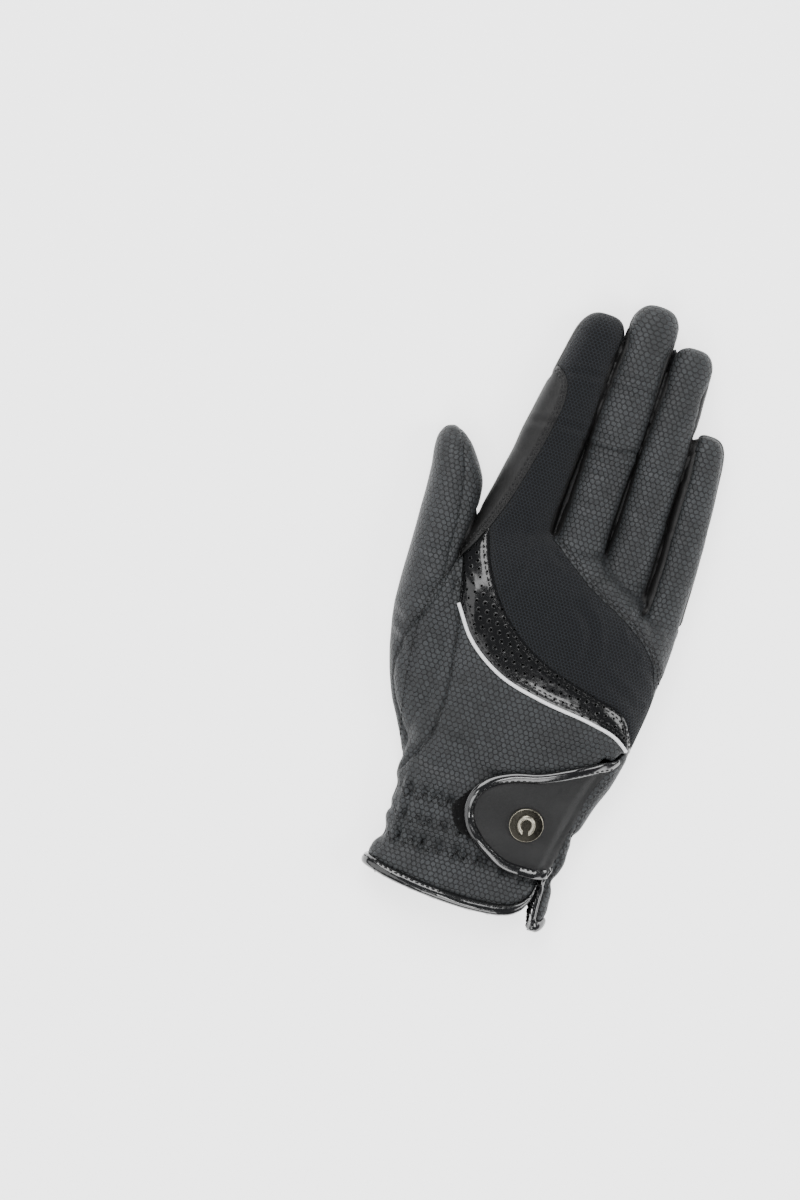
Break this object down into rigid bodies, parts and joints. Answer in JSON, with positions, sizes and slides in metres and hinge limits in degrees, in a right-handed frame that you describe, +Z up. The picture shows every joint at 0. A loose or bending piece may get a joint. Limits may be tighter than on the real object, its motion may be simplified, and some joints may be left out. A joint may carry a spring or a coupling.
{
  "type": "riding glove",
  "caption": "Right-hand riding glove lying palm down: embossed leather panels, mesh back, patent band, white piping, bound cuff, hook-and-loop wrist tab with badge",
  "frame": {"origin": "on the floor, under the middle of the glove's bounding box", "axes": "+Y from the cuff to the fingertips, -X to the thumb, +Z up from the palm to the back of the hand"},
  "size_m": [0.1106, 0.24, 0.0259],
  "materials": {
    "hex_leather": "charcoal synthetic leather embossed with small hexagons",
    "smooth_leather": "black fine-grained synthetic leather",
    "mesh_fabric": "dark knitted mesh",
    "patent_leather": "glossy black patent",
    "white_satin": "white satin",
    "tab_leather": "satin black synthetic leather",
    "loop_fabric": "fuzzy black loop fabric",
    "badge_metal": "warm pewter"
  },
  "bodies": {
    "root": {"lower_back_panel": "hex_leather", "thumb_gusset": "hex_leather", "knuckle_panel": "hex_leather", "palm_panel": "hex_leather", "thumb_panel": "hex_leather", "middle_front": "hex_leather", "ring_front": "hex_leather", "little_front": "hex_leather", "index_side_strip": "smooth_leather", "grip_panel": "smooth_leather", "thumb_inner_strip": "smooth_leather", "index_middle_fourchette": "smooth_leather", "middle_ring_fourchette": "smooth_leather", "ring_little_fourchette": "smooth_leather", "mesh_panel": "mesh_fabric", "patent_band": "patent_leather", "cuff_binding": "patent_leather", "tab_binding": "patent_leather", "white_piping": "white_satin", "closure_tab": "tab_leather", "loop_patch": "loop_fabric", "badge": "badge_metal"}
  },
  "joints": []
}
